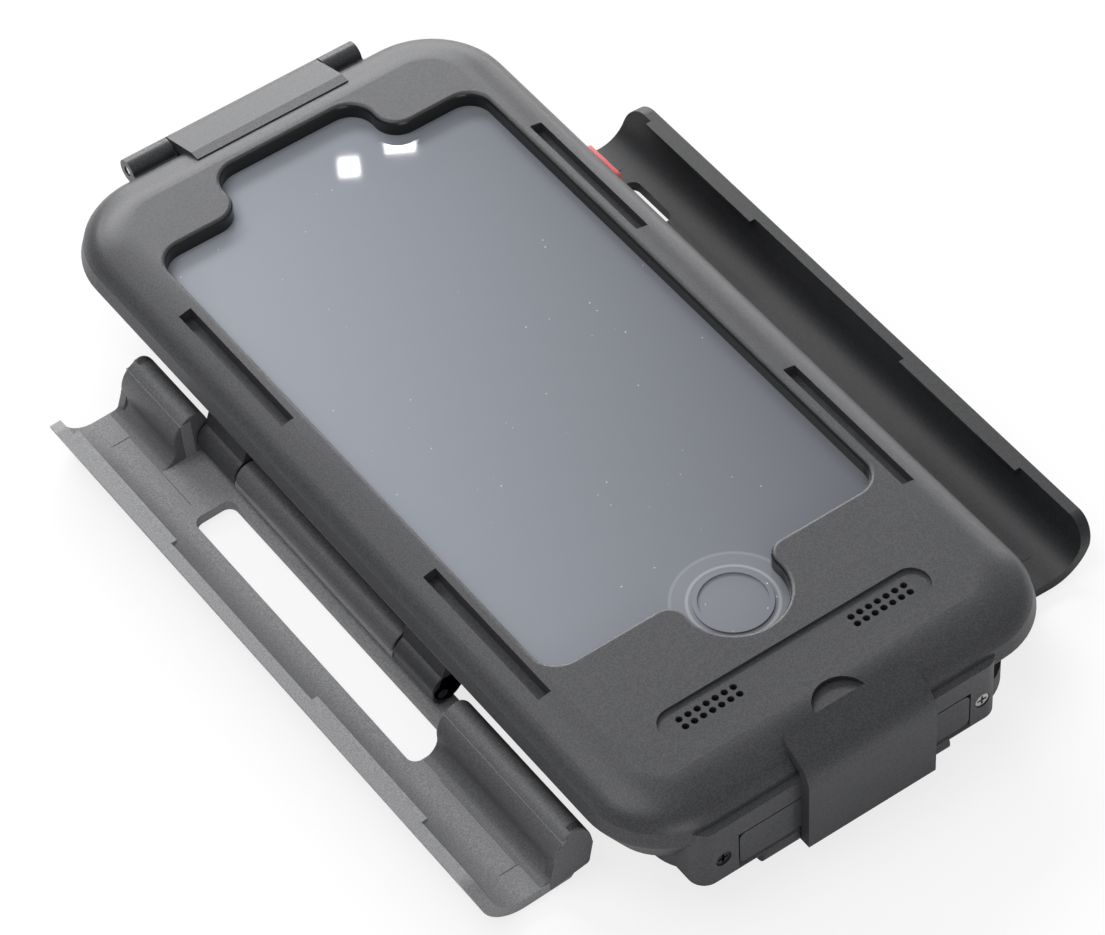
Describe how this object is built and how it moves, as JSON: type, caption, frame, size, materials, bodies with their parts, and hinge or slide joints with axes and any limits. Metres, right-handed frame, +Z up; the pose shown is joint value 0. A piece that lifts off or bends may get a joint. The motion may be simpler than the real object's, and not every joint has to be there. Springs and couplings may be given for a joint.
{
  "type": "waterproof phone case",
  "caption": "Waterproof phone case: hinged front cover over a screen window, two swing-out side latches, a port door behind an end clip and a push button.",
  "frame": {"origin": "under the middle of the whole outline, on the surface that the open latches stand on", "axes": "+X across the case to the button's side, +Y towards the cover's hinge, +Z up through the screen window"},
  "size_m": [0.1232, 0.1782, 0.0249],
  "materials": {
    "case_plastic": "fine-grained satin moulding",
    "seal_rubber": "soft matte",
    "clear_film": "glossy film over a dark screen",
    "sound_film": "fine woven film",
    "camera_glass": "clear",
    "cushion_foam": "closed-cell foam",
    "pin_steel": "bright drawn steel",
    "button_plastic": "red satin"
  },
  "bodies": {
    "case": {"rear_case": "case_plastic", "cover_gasket": "seal_rubber", "button_seal": "seal_rubber", "camera_window": "camera_glass", "camera_seal": "seal_rubber", "phone_cushion": "cushion_foam", "cover_hinge_pin": "pin_steel", "clip_hinge_pin": "pin_steel", "left_latch_pin": "pin_steel", "right_latch_pin": "pin_steel", "left_screw": "pin_steel", "right_screw": "pin_steel"},
    "cover": {"front_cover": "case_plastic", "screen_membrane": "clear_film", "speaker_membrane_left": "sound_film", "speaker_membrane_right": "sound_film"},
    "left_latch_arm": {"left_latch": "case_plastic"},
    "right_latch_arm": {"right_latch": "case_plastic"},
    "clip": {"bottom_clip": "case_plastic", "port_door": "case_plastic", "port_seal": "seal_rubber"},
    "button": {"power_button": "button_plastic"}
  },
  "joints": [
    {"name": "cover_hinge", "type": "hinge", "parent": "case", "child": "cover", "pos_m": [0, 0.0869, 0.01874], "axis": [-1, 0, 0], "range_deg": [0, 105]},
    {"name": "left_latch_hinge", "type": "hinge", "parent": "case", "child": "left_latch_arm", "pos_m": [-0.0404, 0, 0.00484], "axis": [0, 1, 0], "range_deg": [0, 93]},
    {"name": "right_latch_hinge", "type": "hinge", "parent": "case", "child": "right_latch_arm", "pos_m": [0.0404, 0, 0.00484], "axis": [0, -1, 0], "range_deg": [0, 93]},
    {"name": "clip_hinge", "type": "hinge", "parent": "case", "child": "clip", "pos_m": [0, -0.0854, 0.00524], "axis": [1, 0, 0], "range_deg": [0, 90]},
    {"name": "button_slide", "type": "slide", "parent": "case", "child": "button", "axis": [-1, 0, 0], "range_m": [0, 0.0007], "stiffness_N_per_m": 400}
  ]
}
